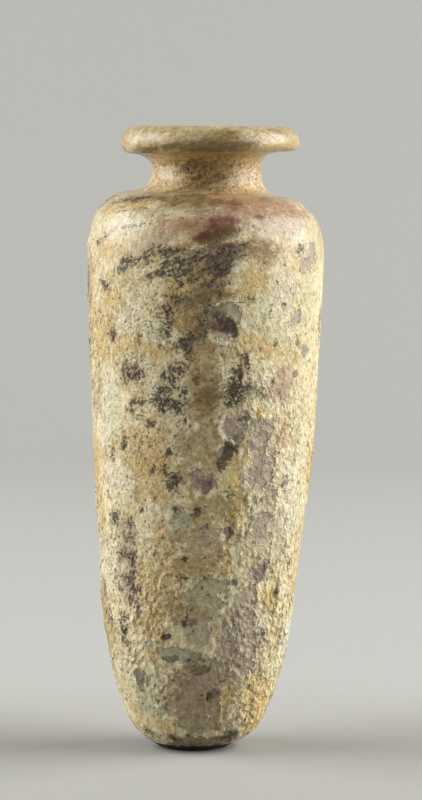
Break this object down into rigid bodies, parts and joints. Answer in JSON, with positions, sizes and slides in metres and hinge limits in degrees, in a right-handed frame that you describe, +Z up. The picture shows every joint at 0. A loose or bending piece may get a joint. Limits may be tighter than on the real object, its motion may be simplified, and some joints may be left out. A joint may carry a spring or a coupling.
{
  "type": "glass unguentarium",
  "caption": "Small free-blown glass oil flask with a broad rolled lip, short waisted neck, high shoulders and a long tapering body, hollow and open at the mouth, under a weathered crust.",
  "frame": {"origin": "on the surface it stands on, under the middle of the flask's bounding box", "axes": "+Z up along the flask towards its mouth; the camera of the picture looks along +Y"},
  "size_m": [0.0456, 0.0456, 0.1201],
  "materials": {
    "weathered_glass": "opaque cream and brown weathering crust, mostly matt, flaked to a faintly iridescent satin layer"
  },
  "bodies": {
    "root": {"unguentarium": "weathered_glass"}
  },
  "joints": []
}
